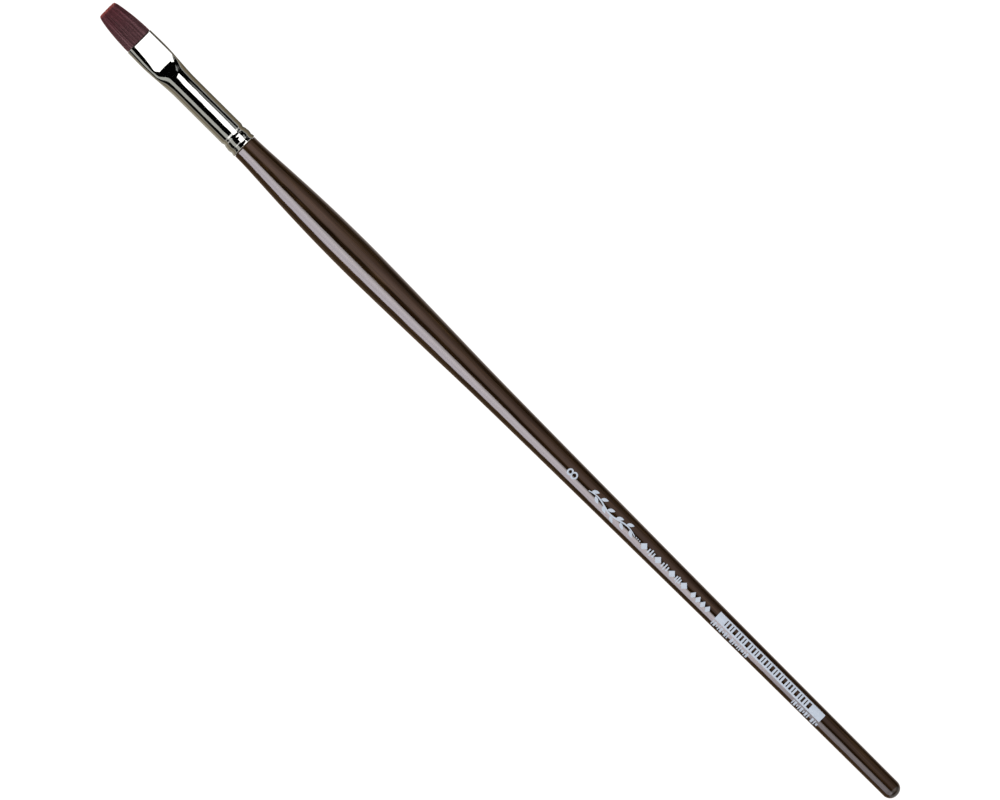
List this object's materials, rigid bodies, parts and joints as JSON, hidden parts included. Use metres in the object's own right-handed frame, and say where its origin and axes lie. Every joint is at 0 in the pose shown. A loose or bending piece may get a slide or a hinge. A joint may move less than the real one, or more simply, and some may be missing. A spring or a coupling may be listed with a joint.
{
  "type": "flat artist's paint brush",
  "caption": "Long-handled flat artist's brush with synthetic hair, a crimped nickel-plated ferrule and a turned, lacquered wooden handle.",
  "frame": {"origin": "on the brush's axis, half way along its whole length, which is the centre of its box", "axes": "+X along the brush, out through the hair; +Z square to the hair's flat side; Y across the hair's width"},
  "size_m": [0.3, 0.0102, 0.0102],
  "materials": {
    "hair_tip": "fine synthetic filament, plum brown, slightly shiny along its length",
    "hair_root": "the same filament, packed tight",
    "thread": "waxed thread",
    "resin": "clear amber casting resin",
    "nickel": "polished nickel plate over brass",
    "glue": "set wood glue",
    "wood": "turned birch, sanded",
    "lacquer": "high-gloss dark brown dipped lacquer"
  },
  "bodies": {
    "brush": {"handle": "wood", "handle_lacquer": "lacquer", "tenon_glue": "glue", "ferrule": "nickel", "epoxy_plug": "resin", "binding_thread": "thread", "bristle_root": "hair_root"},
    "free_hair": {"bristle_head": "hair_tip"}
  },
  "joints": [
    {"name": "hair_bend", "type": "hinge", "parent": "brush", "child": "free_hair", "pos_m": [0.1403, 0, 0], "axis": [0, 1, 0], "range_deg": [-45, 45], "stiffness_Nm_per_rad": 0.001}
  ]
}
